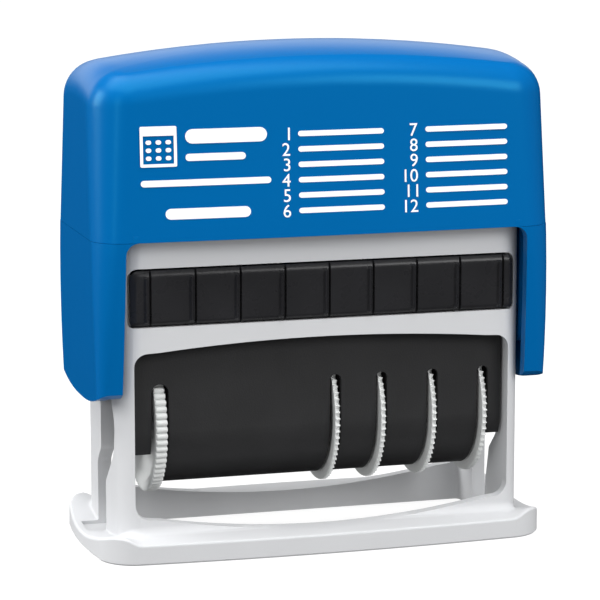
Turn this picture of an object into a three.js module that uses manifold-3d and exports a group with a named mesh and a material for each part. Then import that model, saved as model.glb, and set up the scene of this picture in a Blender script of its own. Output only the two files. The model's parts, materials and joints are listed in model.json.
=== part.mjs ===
// A self-inking stamp with one word band and four date bands, in millimetres, +Z up.
// Origin: middle of the footprint, on the plane of the paper. +X runs along the stamp, -Y is the front.
//
// How it works: the hood and its stirrup slide down over the frame against a spring. The stirrup
// carries the band carriage on two trunnions. While it goes down, the carriage turns half a turn, so
// the characters that rested on the ink pad come down on the paper.
import * as THREE from "three";
import { mergeVertices } from "three/addons/utils/BufferGeometryUtils.js";
import Module from "manifold-3d";

const wasm = await Module();
wasm.setup();

// ---------- driving dimensions ----------
const GAP = 0.3; // play between neighbouring pieces
const STROKE = 18.4; // travel of the hood, from rest to the print

const FRAME = {
  halfLength: 30,
  halfDepth: 11.6,
  height: 47.2,
  cornerRadius: 2.2,
  endWall: 2,
  faceWall: 1.6,
};
const BASE = {
  halfLengthAtCorners: 33.1,
  halfLengthAtMiddle: 33.75,
  halfDepthAtEnds: 15.1,
  halfDepthAtMiddle: 16.1,
  cornerRadius: 5.6,
  thickness: 3,
  cornerThickness: 4,
  slopeInside: 26,
  slopeOutside: 31,
  dishFloor: 2,
  dishHalfDepth: 12,
  notchOutside: 32.6,
  notchFloor: 1.7,
};
const WINDOW = {
  halfLength: 27.9,
  top: 30.9,
  topBow: 1.3,
  bottom: 5.8,
  bottomBow: 2.6,
  cornerRadius: 1.9,
};
const CASSETTE = {
  halfLength: 28.4,
  bottom: 33.7,
  top: 41.5,
  front: -12.3,
  back: 9.2,
  faceWall: 1.3,
  bodyHalfLength: 27.2,
  bodyTop: 41,
  pocketHalfLength: 26.7,
  pocketHalfDepth: 8.5,
  pocketTop: 40,
  grips: 8,
  gripHalfLength: 26.2,
  grooveWidth: 0.4,
  grooveDepth: 0.5,
};
const PAD = { halfLength: 26.4, halfDepth: 8.2, bottom: 33.2, top: 39.6 };
const DECK = { bottom: 42.3, top: 43.5, peg: 44.3 };
const LEDGE = { x: 27.7, halfWidth: 0.6, thickness: 0.9 };
const SPRING = { radius: 4, wire: 0.35, turns: 5, pegRadius: 3.1 };
const HOOD = {
  bottom: 45.9,
  top: 72.3,
  crown: 2.3,
  halfLength: 33.75,
  halfLengthAtTop: 33.4,
  halfDepth: 14.9,
  halfDepthAtTop: 13.3,
  wall: 1.4,
  planRadius: 4.6,
};
const CHEEK = {
  bottom: 22,
  bow: 2.3,
  top: 45.65,
  halfDepthAtBottom: 12.6,
  halfDepthAtTop: 14.5,
  wall: 1.7,
  lipInside: 29.5,
  cornerRadius: 1.6,
};
const STIRRUP = {
  armInside: 30.35,
  armOutside: 31.4,
  armHalfDepth: 9,
  armBottom: 28,
  webOutside: 32.3,
  bossRadius: 3.2,
  bearingOutside: 31.9,
  bridgeBottom: 66,
  bridgeTop: 67.8,
  bridgeHalfDepth: 7.5,
  pegBottom: 63.8,
};
const LIGHTENING = { x: 17, halfLength: 8, halfDepth: 4.5 };

const PRINT_REST = PAD.bottom - GAP; // height of the characters when they rest under the pad
const PRINT_RADIUS = (PRINT_REST - STROKE) / 2; // characters to trunnion axis
const PIVOT_Z = STROKE + PRINT_RADIUS;
const TRUNNION = { radius: 1.2, outside: 31.6 };
const GUIDE_PIN = { offset: 2.6, radius: 1, outside: 28.85 };
const SLOT = { front: -1.5, rear: 3.9, narrow: 1.5, bottom: 2.8, top: 30.3 };

const WHEEL = { z: 17.85, radius: 10.5, toothDepth: 0.45, teeth: 60, drumRadius: 6.8, bore: 1.5 };
const AXLE = { radius: 1.2, halfLength: 26.6 };
const BAND = { thickness: 0.9, halfWidth: 5.3, cornerRadius: 1.8, clearance: 0.25 };
const COVER = {
  radius: 9.2,
  wall: 0.8,
  halfLength: 27.6,
  top: 31.2,
  endBottom: 14.5,
  slotGap: 0.45,
  slotTop: 24.7,
};
const END_PLATE = { inside: 25.9, outside: 27.6, halfDepth: 6.6, top: 30.4, bottom: 14.6 };

// Each set of characters: where its thumb wheel's rim and its band lie along X.
const SETS = [
  { name: "word", rim: [-24.9, -22.9], band: [-22.6, 1.65] },
  { name: "day_tens", rim: [1.95, 2.75], band: [3.0, 5.7] },
  { name: "day_units", rim: [8.9, 9.7], band: [5.95, 8.65] },
  { name: "month", rim: [16.65, 17.45], band: [9.95, 16.4] },
  { name: "year", rim: [24.4, 25.2], band: [17.7, 24.15] },
];

const COLOURS = {
  blue: { color: 0x0862b4, roughness: 0.38, metalness: 0 },
  grey: { color: 0xdfe3e5, roughness: 0.45, metalness: 0 },
  black: { color: 0x1d1d1f, roughness: 0.4, metalness: 0 },
  matteBlack: { color: 0x232325, roughness: 0.6, metalness: 0 },
  white: { color: 0xe6e9e9, roughness: 0.5, metalness: 0 },
  felt: { color: 0x14171f, roughness: 0.95, metalness: 0 },
  rubber: { color: 0x3a3234, roughness: 0.8, metalness: 0 },
  steel: { color: 0xb9bcc0, roughness: 0.3, metalness: 1 },
};

// ---------- solids ----------
function solidOf(geometry) {
  const bare = geometry.index ? geometry.toNonIndexed() : geometry.clone();
  bare.deleteAttribute("normal");
  bare.deleteAttribute("uv");
  const merged = mergeVertices(bare, 1e-4);
  return new wasm.Manifold(
    new wasm.Mesh({
      numProp: 3,
      vertProperties: merged.attributes.position.array,
      triVerts: new Uint32Array(merged.index.array),
    }),
  );
}

function geometryOf(solid) {
  const mesh = solid.getMesh();
  const geometry = new THREE.BufferGeometry();
  geometry.setAttribute("position", new THREE.BufferAttribute(mesh.vertProperties.slice(), 3));
  geometry.setIndex(new THREE.BufferAttribute(mesh.triVerts.slice(), 1));
  geometry.computeVertexNormals();
  return geometry;
}

const join = (first, ...others) => others.reduce((sum, solid) => sum.add(solid), first);
const cut = (first, ...others) => others.reduce((sum, solid) => sum.subtract(solid), first);
const common = (first, ...others) => others.reduce((sum, solid) => sum.intersect(solid), first);

// A shape drawn in the plane of two axes, extruded between two places on the third.
function extrude(shape, plane, from, to, curveSegments = 3) {
  const geometry = new THREE.ExtrudeGeometry(shape, { depth: to - from, bevelEnabled: false, curveSegments });
  if (plane === "XY") geometry.translate(0, 0, from);
  if (plane === "XZ") geometry.rotateX(Math.PI / 2).translate(0, to, 0);
  if (plane === "YZ") {
    const yzx = new THREE.Matrix4().makeBasis(
      new THREE.Vector3(0, 1, 0),
      new THREE.Vector3(0, 0, 1),
      new THREE.Vector3(1, 0, 0),
    );
    geometry.applyMatrix4(yzx).translate(from, 0, 0);
  }
  return solidOf(geometry);
}

function box([x0, x1], [y0, y1], [z0, z1]) {
  const geometry = new THREE.BoxGeometry(x1 - x0, y1 - y0, z1 - z0);
  return solidOf(geometry.translate((x0 + x1) / 2, (y0 + y1) / 2, (z0 + z1) / 2));
}

// A round bar along X.
function barX(radius, [x0, x1], y, z, sides = 20) {
  const geometry = new THREE.CylinderGeometry(radius, radius, x1 - x0, sides);
  return solidOf(geometry.rotateZ(Math.PI / 2).translate((x0 + x1) / 2, y, z));
}

// A round peg along Z.
function barZ(radius, x, y, [z0, z1], sides = 24) {
  const geometry = new THREE.CylinderGeometry(radius, radius, z1 - z0, sides);
  return solidOf(geometry.rotateX(Math.PI / 2).translate(x, y, (z0 + z1) / 2));
}

// ---------- outlines ----------
// A polygon of [a, b, radius] corners, each rounded by an arc of its own radius.
function roundedOutline(corners) {
  const outline = new THREE.Shape();
  const count = corners.length;
  corners.forEach(([x, y, radius = 0], i) => {
    const corner = new THREE.Vector2(x, y);
    const before = new THREE.Vector2(...corners[(i + count - 1) % count].slice(0, 2)).sub(corner).normalize();
    const after = new THREE.Vector2(...corners[(i + 1) % count].slice(0, 2)).sub(corner).normalize();
    const move = (p) => (i === 0 ? outline.moveTo(p.x, p.y) : outline.lineTo(p.x, p.y));
    if (!radius) {
      move(corner);
      return;
    }
    const half = Math.acos(THREE.MathUtils.clamp(before.dot(after), -1, 1)) / 2;
    const reach = radius / Math.tan(half);
    const start = corner.clone().addScaledVector(before, reach);
    const end = corner.clone().addScaledVector(after, reach);
    const bisector = before.clone().add(after).normalize();
    const centre = corner.clone().addScaledVector(bisector, radius / Math.sin(half));
    const clockwise = before.cross(after) > 0;
    move(start);
    outline.absarc(
      centre.x,
      centre.y,
      radius,
      Math.atan2(start.y - centre.y, start.x - centre.x),
      Math.atan2(end.y - centre.y, end.x - centre.x),
      clockwise,
    );
  });
  outline.closePath();
  return outline;
}

// Points of a shallow arc between two places, without its ends; sagitta is positive to the left.
function bow([x0, y0], [x1, y1], sagitta, steps = 8) {
  const chord = Math.hypot(x1 - x0, y1 - y0);
  const radius = (chord * chord) / (8 * sagitta) + sagitta / 2;
  const [ux, uy] = [(x1 - x0) / chord, (y1 - y0) / chord];
  return Array.from({ length: steps - 1 }, (_, i) => {
    const along = ((i + 1) / steps - 0.5) * chord;
    const side = Math.sign(radius) * Math.sqrt(radius * radius - along * along) - (radius - sagitta);
    return [(x0 + x1) / 2 + ux * along - uy * side, (y0 + y1) / 2 + uy * along + ux * side, 0];
  });
}

function rectangle(halfLength, halfDepth, radius) {
  return roundedOutline([
    [halfLength, halfDepth, radius],
    [-halfLength, halfDepth, radius],
    [-halfLength, -halfDepth, radius],
    [halfLength, -halfDepth, radius],
  ]);
}

// A rectangle whose long sides bow outwards, and its short sides too if endSwell is given.
function boat(halfLength, depthAtEnds, depthAtMiddle, radius, endSwell = 0) {
  const swell = depthAtEnds - depthAtMiddle;
  const straight = depthAtEnds - radius;
  const end = (x, from, to) => (endSwell ? bow([x, from], [x, to], -endSwell) : []);
  return roundedOutline([
    [halfLength, depthAtEnds, radius],
    ...bow([halfLength - radius, depthAtEnds], [radius - halfLength, depthAtEnds], swell),
    [-halfLength, depthAtEnds, radius],
    ...end(-halfLength, straight, -straight),
    [-halfLength, -depthAtEnds, radius],
    ...bow([radius - halfLength, -depthAtEnds], [halfLength - radius, -depthAtEnds], swell),
    [halfLength, -depthAtEnds, radius],
    ...end(halfLength, -straight, straight),
  ]);
}

// The belt around the wheel's drum and the bridge, as the hull of three circles.
function beltOutline(drumRadius, topZ, halfWidth, cornerRadius) {
  const [cornerY, cornerZ] = [halfWidth - cornerRadius, topZ - cornerRadius];
  const [dy, dz] = [cornerY, cornerZ - WHEEL.z];
  const tilt = Math.atan2(dz, dy) - Math.acos((drumRadius - cornerRadius) / Math.hypot(dy, dz));
  const belt = new THREE.Shape();
  belt.absarc(cornerY, cornerZ, cornerRadius, tilt, Math.PI / 2, false);
  belt.absarc(-cornerY, cornerZ, cornerRadius, Math.PI / 2, Math.PI - tilt, false);
  belt.absarc(0, WHEEL.z, drumRadius, Math.PI - tilt, 2 * Math.PI + tilt, false);
  belt.closePath();
  return belt;
}

// ---------- scene graph ----------
const stamp = new THREE.Group();
stamp.name = "self_inking_stamp";
const frameGroup = new THREE.Group();
const capGroup = new THREE.Group();
const carriageGroup = new THREE.Group();
stamp.add(frameGroup, capGroup, carriageGroup);

function place(group, name, solid, finish) {
  const mesh = new THREE.Mesh(geometryOf(solid), new THREE.MeshStandardMaterial(finish));
  mesh.name = name;
  group.add(mesh);
}

// ---------- frame ----------
function windowOutline() {
  const { halfLength, top, topBow, bottom, bottomBow, cornerRadius } = WINDOW;
  const shoulder = top - topBow;
  return roundedOutline([
    [halfLength, shoulder, cornerRadius],
    ...bow([halfLength - cornerRadius, shoulder], [cornerRadius - halfLength, shoulder], -topBow),
    [-halfLength, shoulder, cornerRadius],
    [-halfLength, bottom, cornerRadius],
    ...bow([cornerRadius - halfLength, bottom], [halfLength - cornerRadius, bottom], -bottomBow),
    [halfLength, bottom, cornerRadius],
  ]);
}

// The slot in each end wall: a straight run for the trunnion with a lobe towards the front.
const slotOutline = () =>
  roundedOutline([
    [SLOT.rear, SLOT.bottom, 0.4],
    [SLOT.rear, 11.4, 1.5],
    [SLOT.narrow, 13.6, 1.5],
    [SLOT.narrow, 20.4, 1.5],
    [SLOT.rear, 22.8, 1.5],
    [SLOT.rear, SLOT.top, 1],
    [-1.8, SLOT.top, 1],
    [-1.8, 28.4, 1],
    [-8, 18.6, 4],
    [-7.7, 13.2, 6],
    [SLOT.front, 9.4, 0.8],
    [SLOT.front, SLOT.bottom, 0.4],
  ]);

// A shallow groove on the inner side of each end wall leads the guide pin down from the lobe.
const grooveOutline = () =>
  roundedOutline([
    [-1, SLOT.bottom, 0.4],
    [-1, 20],
    [-4.1, 18.5, 1.5],
    [-4.1, 14, 2],
    [-2.15, 6.2, 1.5],
    [-1.6, SLOT.bottom],
  ]);

// The flange around the foot of the frame: thicker at its corners, and dished along each end.
function flangeSolid() {
  const { halfLengthAtCorners, halfLengthAtMiddle, halfDepthAtEnds, halfDepthAtMiddle, cornerRadius } = BASE;
  const { thickness, cornerThickness, slopeInside, slopeOutside, dishFloor, dishHalfDepth } = BASE;
  const endSwell = halfLengthAtMiddle - halfLengthAtCorners;
  const plan = boat(halfLengthAtCorners, halfDepthAtEnds, halfDepthAtMiddle, cornerRadius, endSwell);
  const above = cornerThickness + 1;
  const valley = roundedOutline([
    [slopeOutside, cornerThickness],
    [slopeOutside, above],
    [-slopeOutside, above],
    [-slopeOutside, cornerThickness],
    [-slopeInside, thickness],
    [slopeInside, thickness],
  ]);
  const dish = roundedOutline([
    [-dishHalfDepth, cornerThickness],
    ...bow([-dishHalfDepth, cornerThickness], [dishHalfDepth, cornerThickness], dishFloor - cornerThickness),
    [dishHalfDepth, cornerThickness],
    [dishHalfDepth, above],
    [-dishHalfDepth, above],
  ]);
  const past = halfLengthAtMiddle + 1;
  return cut(
    extrude(plan, "XY", 0, cornerThickness, 5),
    extrude(valley, "XZ", -halfDepthAtMiddle - 1, halfDepthAtMiddle + 1),
    extrude(dish, "YZ", -past, -FRAME.halfLength),
    extrude(dish, "YZ", FRAME.halfLength, past),
  );
}

function frameSolid() {
  const { halfLength, halfDepth, height, cornerRadius, endWall, faceWall } = FRAME;
  const [innerX, innerY] = [halfLength - endWall, halfDepth - faceWall];
  const walls = extrude(rectangle(halfLength, halfDepth, cornerRadius), "XY", 0, height);
  const well = box([-innerX, innerX], [-innerY, innerY], [-1, height + 1]);
  const seated = faceWall / 2; // how far the deck and the ledges reach into the walls
  const depthSpan = [-innerY - seated, innerY + seated];
  const deck = box([-innerX - seated, innerX + seated], depthSpan, [DECK.bottom, DECK.top]);
  const springPeg = barZ(SPRING.pegRadius, 0, 0, [DECK.bottom, DECK.peg]);
  const ledgeTop = CASSETTE.bottom - GAP;
  const ledges = [-LEDGE.x, LEDGE.x].map((x) =>
    box([x - LEDGE.halfWidth, x + LEDGE.halfWidth], depthSpan, [ledgeTop - LEDGE.thickness, ledgeTop]),
  );
  const cassetteSlot = box(
    [-CASSETTE.halfLength - GAP, CASSETTE.halfLength + GAP],
    [-halfDepth - 2, 0.4 - innerY],
    [CASSETTE.bottom - GAP, CASSETTE.top + GAP],
  );
  const notch = box(
    [-BASE.notchOutside, BASE.notchOutside],
    [SLOT.front, SLOT.rear],
    [BASE.notchFloor, BASE.cornerThickness],
  );
  const windows = extrude(windowOutline(), "XZ", -halfDepth - 1, halfDepth + 1);
  const slots = extrude(slotOutline(), "YZ", -halfLength - 0.5, halfLength + 0.5);
  const groove = extrude(grooveOutline(), "YZ", 0.9 - halfLength, halfLength - 0.9, 2);
  const shell = cut(join(walls, flangeSolid()), well, windows, slots, groove, cassetteSlot, notch);
  return join(shell, deck, springPeg, ...ledges);
}

// ---------- ink pad ----------
function cassetteSolid() {
  const { halfLength, bottom, top, front, back, bodyHalfLength, grips, gripHalfLength } = CASSETTE;
  const { pocketHalfLength, pocketHalfDepth, grooveWidth, grooveDepth } = CASSETTE;
  const faceBack = front + CASSETTE.faceWall;
  const face = extrude(
    roundedOutline([
      [halfLength, bottom, 0.5],
      [halfLength, top, 1.2],
      [-halfLength, top, 1.2],
      [-halfLength, bottom, 0.5],
    ]),
    "XZ",
    front,
    faceBack,
  );
  const tray = box([-bodyHalfLength, bodyHalfLength], [faceBack - 0.2, back], [bottom, CASSETTE.bodyTop]);
  const pocket = box(
    [-pocketHalfLength, pocketHalfLength],
    [-pocketHalfDepth, pocketHalfDepth],
    [bottom - 1, CASSETTE.pocketTop],
  );
  const pitch = (2 * gripHalfLength) / grips;
  const grooves = Array.from({ length: grips + 1 }, (_, i) => {
    const x = i * pitch - gripHalfLength;
    const span = [x - grooveWidth / 2, x + grooveWidth / 2];
    return box(span, [front - 1, front + grooveDepth], [bottom + 0.5, top + 1]);
  });
  return cut(join(face, tray), pocket, ...grooves);
}

function padSolid() {
  const slab = rectangle(PAD.halfLength, PAD.halfDepth, 0.6);
  return extrude(slab, "XY", PAD.bottom, PAD.top);
}

// ---------- hood ----------
// The hood is common to three extrusions: its side view, its end view and its plan. inset shrinks it.
function hoodBlock(inset, bottom) {
  const [length, lengthTop] = [HOOD.halfLength - inset, HOOD.halfLengthAtTop - inset];
  const [depth, depthTop] = [HOOD.halfDepth - inset, HOOD.halfDepthAtTop - inset];
  const shoulder = HOOD.top - HOOD.crown - inset;
  const round = 3.2 - inset;
  const fromFront = roundedOutline([
    [length, bottom, 0],
    [lengthTop, shoulder, round],
    ...bow([lengthTop - 4, shoulder + 0.5], [4 - lengthTop, shoulder + 0.5], 0.5 - HOOD.crown),
    [-lengthTop, shoulder, round],
    [-length, bottom, 0],
  ]);
  const fromEnd = roundedOutline([
    [depth, bottom, 0],
    [depthTop, HOOD.top - inset - 1.4, Math.max(1.6 - inset, 0.2)],
    ...bow([depthTop - 2, HOOD.top - inset - 1.1], [2 - depthTop, HOOD.top - inset - 1.1], -1.1, 6),
    [-depthTop, HOOD.top - inset - 1.4, Math.max(1.6 - inset, 0.2)],
    [-depth, bottom, 0],
  ]);
  const plan = boat(length, depth - 0.5, depth, HOOD.planRadius - inset);
  return common(
    extrude(fromFront, "XZ", -20, 20, 4),
    extrude(fromEnd, "YZ", -40, 40, 2),
    extrude(plan, "XY", bottom, HOOD.top + 1, 4),
  );
}

const hoodSolid = () => cut(hoodBlock(0, HOOD.bottom), hoodBlock(HOOD.wall, HOOD.bottom - 1));

// ---------- stirrup ----------
// Two cheeks below the hood, each on an arm that rises inside it to the bridge over the spring.
function cheekSolid(side) {
  const { bottom, bow: sag, top, halfDepthAtBottom, halfDepthAtTop, wall, lipInside, cornerRadius } = CHEEK;
  const corner = bottom + sag;
  const ease = 0.7; // height that the rounded lower corners take from the bow
  const bowHalf = halfDepthAtBottom - 2;
  const profile = (inset) =>
    roundedOutline([
      [halfDepthAtTop - inset, top, 0],
      [inset - halfDepthAtTop, top, 0],
      [inset - halfDepthAtBottom, corner + inset, cornerRadius],
      ...bow([inset - bowHalf, corner - ease], [bowHalf - inset, corner - ease], ease - sag),
      [halfDepthAtBottom - inset, corner + inset, cornerRadius],
    ]);
  const inside = lipInside;
  const outside = HOOD.halfLength;
  const block = common(
    extrude(profile(0), "YZ", -outside, outside),
    extrude(boat(outside, halfDepthAtTop - 0.1, halfDepthAtTop, HOOD.planRadius - 1), "XY", 0, top, 4),
    side < 0 ? box([-40, -inside], [-30, 30], [0, 60]) : box([inside, 40], [-30, 30], [0, 60]),
  );
  const [hollowFrom, hollowTo] = [inside - 1, outside - wall];
  const hollow = extrude(
    roundedOutline([
      [halfDepthAtTop - wall, top + 1, 0],
      [wall - halfDepthAtTop, top + 1, 0],
      [wall - halfDepthAtBottom, bottom - 1, 0],
      [halfDepthAtBottom - wall, bottom - 1, 0],
    ]),
    "YZ",
    side < 0 ? -hollowTo : hollowFrom,
    side < 0 ? -hollowFrom : hollowTo,
  );
  return cut(block, hollow);
}

function stirrupSolid() {
  const { armInside, armOutside, armHalfDepth, armBottom, webOutside } = STIRRUP;
  const { bridgeBottom, bridgeTop, bridgeHalfDepth } = STIRRUP;
  const armDepth = [-armHalfDepth, armHalfDepth];
  const sides = [-1, 1].map((side) => {
    const span = (from, to) => (side < 0 ? [-to, -from] : [from, to]);
    const arm = box(span(armInside, armOutside), armDepth, [armBottom, bridgeTop]);
    const web = box(span(armInside, webOutside), armDepth, [armBottom, CHEEK.top - GAP]);
    const boss = barX(STIRRUP.bossRadius, span(armInside, webOutside), 0, PIVOT_Z);
    const bearing = barX(TRUNNION.radius + GAP, span(armInside - 1, STIRRUP.bearingOutside), 0, PIVOT_Z);
    return cut(join(cheekSolid(side), web, arm, boss), bearing);
  });
  const bridge = box(
    [-armOutside, armOutside],
    [-bridgeHalfDepth, bridgeHalfDepth],
    [bridgeBottom, bridgeTop],
  );
  const lightening = [-LIGHTENING.x, LIGHTENING.x].map((x) =>
    box(
      [x - LIGHTENING.halfLength, x + LIGHTENING.halfLength],
      [-LIGHTENING.halfDepth, LIGHTENING.halfDepth],
      [bridgeBottom - 1, bridgeTop + 1],
    ),
  );
  const peg = barZ(SPRING.pegRadius, 0, 0, [STIRRUP.pegBottom, bridgeTop]);
  return join(cut(bridge, ...lightening), peg, ...sides);
}

// ---------- return spring ----------
class Helix extends THREE.Curve {
  constructor(radius, turns, bottom, top) {
    super();
    Object.assign(this, { radius, turns, bottom, top });
  }

  getPoint(t, target = new THREE.Vector3()) {
    const angle = 2 * Math.PI * this.turns * t;
    const [x, y] = [this.radius * Math.cos(angle), this.radius * Math.sin(angle)];
    return target.set(x, y, THREE.MathUtils.lerp(this.bottom, this.top, t));
  }
}

function springSolid() {
  const { radius, wire, turns } = SPRING;
  const section = new THREE.Shape().absarc(0, 0, wire, 0, 2 * Math.PI, false);
  const extrudePath = new Helix(radius, turns, DECK.top + GAP + wire, STIRRUP.bridgeBottom - GAP - wire);
  const options = { steps: 60, extrudePath, bevelEnabled: false, curveSegments: 3 };
  return solidOf(new THREE.ExtrudeGeometry(section, options));
}

// ---------- carriage ----------
function endPlateSolid(side) {
  const span = (from, to) => (side < 0 ? [-to, -from] : [from, to]);
  const { inside, outside, halfDepth, top, bottom } = END_PLATE;
  const plate = extrude(
    roundedOutline([
      [halfDepth, bottom, 2.5],
      [halfDepth, top, 1.5],
      [-halfDepth, top, 1.5],
      [-halfDepth, bottom, 2.5],
    ]),
    "YZ",
    ...span(inside, outside),
  );
  const trunnion = barX(TRUNNION.radius, span(inside, TRUNNION.outside), 0, PIVOT_Z);
  const guidePin = barX(GUIDE_PIN.radius, span(inside, GUIDE_PIN.outside), 0, PIVOT_Z + GUIDE_PIN.offset, 16);
  const axleSeat = barX(AXLE.radius + GAP, span(inside - 1, AXLE.halfLength + GAP), 0, WHEEL.z);
  return cut(join(plate, trunnion, guidePin), axleSeat);
}

function bridgeSolid() {
  const inset = BAND.thickness + BAND.clearance;
  const [top, halfWidth] = [PRINT_REST - inset, BAND.halfWidth - inset];
  const bottom = WHEEL.z + WHEEL.radius + GAP;
  return extrude(
    roundedOutline([
      [halfWidth, bottom, 0.8],
      [halfWidth, top, 0.8],
      [-halfWidth, top, 0.8],
      [-halfWidth, bottom, 0.8],
    ]),
    "YZ",
    GAP - END_PLATE.inside,
    END_PLATE.inside - GAP,
    3,
  );
}

function coverSolid() {
  const { radius, wall, halfLength, top, endBottom, slotGap, slotTop } = COVER;
  const shell = (inset, length, extra) => {
    const outline = new THREE.Shape();
    const r = radius - inset;
    outline.moveTo(r, top + extra);
    outline.lineTo(-r, top + extra);
    outline.absarc(0, WHEEL.z, r, Math.PI, 2 * Math.PI, false);
    outline.closePath();
    return extrude(outline, "YZ", -length, length, 12);
  };
  const slots = SETS.map(({ rim: [from, to] }) => {
    const [x0, x1] = [from - slotGap, to + slotGap];
    const half = (x1 - x0) / 2;
    const slot = box([x0, x1], [-radius - 1, radius + 1], [0, slotTop - half]);
    const heads = [-radius, radius].map((y) => {
      const head = new THREE.CylinderGeometry(half, half, 3, 8);
      return solidOf(head.translate(x0 + half, y, slotTop - half));
    });
    return join(slot, ...heads);
  });
  const [first, last] = [SETS[0].rim[0] - slotGap, SETS.at(-1).rim[1] + slotGap];
  const shortEnds = [
    box([-halfLength - 1, first + 0.1], [-20, 20], [0, endBottom]),
    box([last - 0.1, halfLength + 1], [-20, 20], [0, endBottom]),
  ];
  return cut(shell(0, halfLength, 0), shell(wall, halfLength + 1, 1), ...slots, ...shortEnds);
}

function wheelSolid({ rim, band }) {
  const tip = WHEEL.radius;
  const root = WHEEL.radius - WHEEL.toothDepth;
  const outline = new THREE.Shape();
  for (let i = 0; i < 2 * WHEEL.teeth; i++) {
    const angle = (i * Math.PI) / WHEEL.teeth;
    const r = i % 2 ? root : tip;
    const [y, z] = [r * Math.cos(angle), WHEEL.z + r * Math.sin(angle)];
    if (i === 0) outline.moveTo(y, z);
    else outline.lineTo(y, z);
  }
  outline.closePath();
  const ends = [...rim, ...band];
  const onRight = band[0] > rim[0];
  const drum = onRight ? [rim[0], band[1]] : [band[0], rim[1]];
  return cut(
    join(extrude(outline, "YZ", ...rim), barX(WHEEL.drumRadius, drum, 0, WHEEL.z, 24)),
    barX(WHEEL.bore, [Math.min(...ends) - 1, Math.max(...ends) + 1], 0, WHEEL.z, 12),
  );
}

function bandSolid({ band }) {
  const drum = WHEEL.drumRadius + BAND.clearance;
  const { thickness, halfWidth, cornerRadius } = BAND;
  const outer = beltOutline(drum + thickness, PRINT_REST, halfWidth, cornerRadius);
  const inner = beltOutline(drum, PRINT_REST - thickness, halfWidth - thickness, cornerRadius - thickness);
  return cut(extrude(outer, "YZ", ...band, 6), extrude(inner, "YZ", band[0] - 1, band[1] + 1, 6));
}

// ---------- assembly ----------
place(frameGroup, "frame", frameSolid(), COLOURS.grey);
place(frameGroup, "pad_cassette", cassetteSolid(), COLOURS.black);
place(frameGroup, "ink_pad", padSolid(), COLOURS.felt);
place(frameGroup, "return_spring", springSolid(), COLOURS.steel);
place(capGroup, "hood", hoodSolid(), COLOURS.blue);
place(capGroup, "stirrup", stirrupSolid(), COLOURS.blue);
place(carriageGroup, "left_end_plate", endPlateSolid(-1), COLOURS.matteBlack);
place(carriageGroup, "right_end_plate", endPlateSolid(1), COLOURS.matteBlack);
place(carriageGroup, "band_bridge", bridgeSolid(), COLOURS.matteBlack);
place(carriageGroup, "wheel_cover", coverSolid(), COLOURS.matteBlack);
const axleSpan = [-AXLE.halfLength, AXLE.halfLength];
place(carriageGroup, "wheel_axle", barX(AXLE.radius, axleSpan, 0, WHEEL.z, 16), COLOURS.steel);
for (const set of SETS) {
  place(carriageGroup, set.name + "_wheel", wheelSolid(set), COLOURS.white);
  place(carriageGroup, set.name + "_band", bandSolid(set), COLOURS.rubber);
}

export default stamp;
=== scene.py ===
"""The looks of a self-inking word and date stamp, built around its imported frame.

Shapes are worked out in millimetres and scaled to metres when a piece is finished.
+X runs along the stamp, -Y is the front, +Z is up.
"""
import json
import math

import bmesh
import bpy
import numpy as np
from mathutils import Matrix, Vector


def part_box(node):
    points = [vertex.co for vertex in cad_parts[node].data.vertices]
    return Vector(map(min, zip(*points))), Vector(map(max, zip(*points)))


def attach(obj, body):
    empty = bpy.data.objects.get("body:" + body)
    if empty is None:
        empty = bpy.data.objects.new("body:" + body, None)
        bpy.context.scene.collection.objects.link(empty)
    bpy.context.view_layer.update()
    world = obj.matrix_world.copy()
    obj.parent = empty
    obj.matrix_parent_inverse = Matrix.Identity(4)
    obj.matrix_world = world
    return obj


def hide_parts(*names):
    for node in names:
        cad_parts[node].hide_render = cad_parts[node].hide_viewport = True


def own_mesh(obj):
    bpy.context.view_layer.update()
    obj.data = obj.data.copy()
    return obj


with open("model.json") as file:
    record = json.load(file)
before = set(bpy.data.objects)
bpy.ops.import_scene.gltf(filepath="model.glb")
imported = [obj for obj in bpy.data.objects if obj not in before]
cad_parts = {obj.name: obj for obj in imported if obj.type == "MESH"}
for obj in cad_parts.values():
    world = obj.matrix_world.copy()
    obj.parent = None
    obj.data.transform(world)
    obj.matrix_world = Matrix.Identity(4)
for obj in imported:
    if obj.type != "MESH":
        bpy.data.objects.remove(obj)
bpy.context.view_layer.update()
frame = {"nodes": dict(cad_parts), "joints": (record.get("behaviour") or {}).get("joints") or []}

MM = 0.001
GAP = 0.3


def node_box(node):
    """Lowest and highest corner of a frame node, in millimetres."""
    low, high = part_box(node)
    return np.array(low) / MM, np.array(high) / MM


# ------ driving sizes: from the frame, and for looks only in millimetres and degrees
HOOD_LOW, HOOD_HIGH = node_box("hood")
STIRRUP_LOW, STIRRUP_HIGH = node_box("stirrup")
FRAME_HIGH = node_box("frame")[1]
CASSETTE_LOW, CASSETTE_HIGH = node_box("pad_cassette")
PAD_LOW, PAD_HIGH = node_box("ink_pad")
COVER_LOW, COVER_HIGH = node_box("wheel_cover")
SPRING_LOW, SPRING_HIGH = node_box("return_spring")

COVER_RADIUS = COVER_HIGH[1]
WHEEL_Z = COVER_LOW[2] + COVER_RADIUS
PIVOT_Z = next(j["pos_m"][2] for j in frame["joints"] if j["name"] == "carriage_flip") / MM

HOOD_WALL = 1.15
HOOD_BOW = 0.5
HOOD_CORNER = 4.6
HOOD_CORNER_AT_TOP = 6.2
HOOD_FILLET = 4.9
HOOD_FILLET_AT_ENDS = 5.4
CREASE_ANGLE = 9.0
CROWN_ALONG = 2.85
CROWN_ACROSS = 2.15
FILLET_END_ANGLE = 3.0
HOOD_RIM_ROUND = 0.06
DEPTH_LOST_TO_DRAFT = 1.6
LENGTH_LOST_TO_DRAFT = 0.25

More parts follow.
